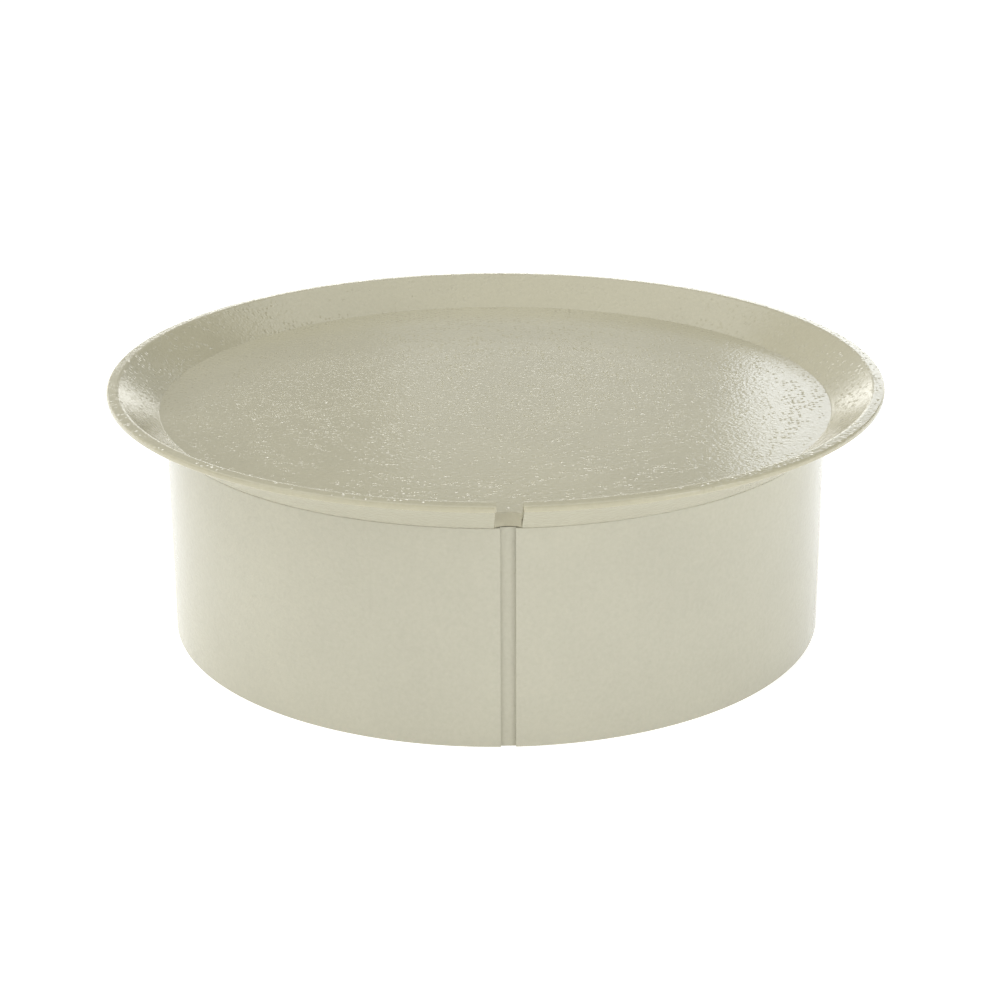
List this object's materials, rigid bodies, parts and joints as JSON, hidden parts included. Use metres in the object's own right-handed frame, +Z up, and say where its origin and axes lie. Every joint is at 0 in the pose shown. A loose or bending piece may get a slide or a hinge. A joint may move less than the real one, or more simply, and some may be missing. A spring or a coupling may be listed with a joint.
{
  "type": "manhole cover",
  "caption": "Round skirted manhole cover: a shallow dished lift-off lid with a raised rim and drain notch, nested in a flared frame with a deep cylindrical skirt.",
  "frame": {"origin": "centre of the frame's bottom face, where it stands on the chamber", "axes": "+Z up along the cover's axis, -Y towards the drain notch and the skirt's joint, +X to the right"},
  "size_m": [0.7849, 0.7848, 0.2593],
  "materials": {
    "cream_coat": "glossy cream powder coat with a fine orange-peel texture over spun steel",
    "inner_coat": "thinner, less glossy cream powder coat over welded steel plate",
    "zinc_steel": "bright zinc-plated steel",
    "black_rubber": "matt black EPDM rubber"
  },
  "bodies": {
    "frame": {"skirt_shell": "cream_coat", "joint_strap": "inner_coat", "strap_studs": "zinc_steel", "strap_nuts": "zinc_steel", "base_ring": "inner_coat", "seat_ring": "inner_coat", "collar_ring": "cream_coat", "rim_pad": "black_rubber", "seat_pad": "black_rubber", "locating_key": "inner_coat", "seat_gusset_1": "inner_coat", "seat_gusset_2": "inner_coat", "seat_gusset_3": "inner_coat", "seat_gusset_4": "inner_coat", "seat_gusset_5": "inner_coat", "seat_gusset_6": "inner_coat", "seat_gusset_7": "inner_coat", "seat_gusset_8": "inner_coat"},
    "lid": {"cover_pan": "cream_coat", "locating_hoop": "inner_coat", "hoop_seal": "black_rubber", "hub_tube": "inner_coat", "tie_ring": "inner_coat", "radial_rib_1": "inner_coat", "radial_rib_2": "inner_coat", "radial_rib_3": "inner_coat", "radial_rib_4": "inner_coat", "radial_rib_5": "inner_coat", "radial_rib_6": "inner_coat", "radial_rib_7": "inner_coat", "radial_rib_8": "inner_coat"}
  },
  "joints": [
    {"name": "cover_lift", "type": "slide", "parent": "frame", "child": "lid", "axis": [0, 0, 1], "range_m": [0, 0.15]}
  ]
}
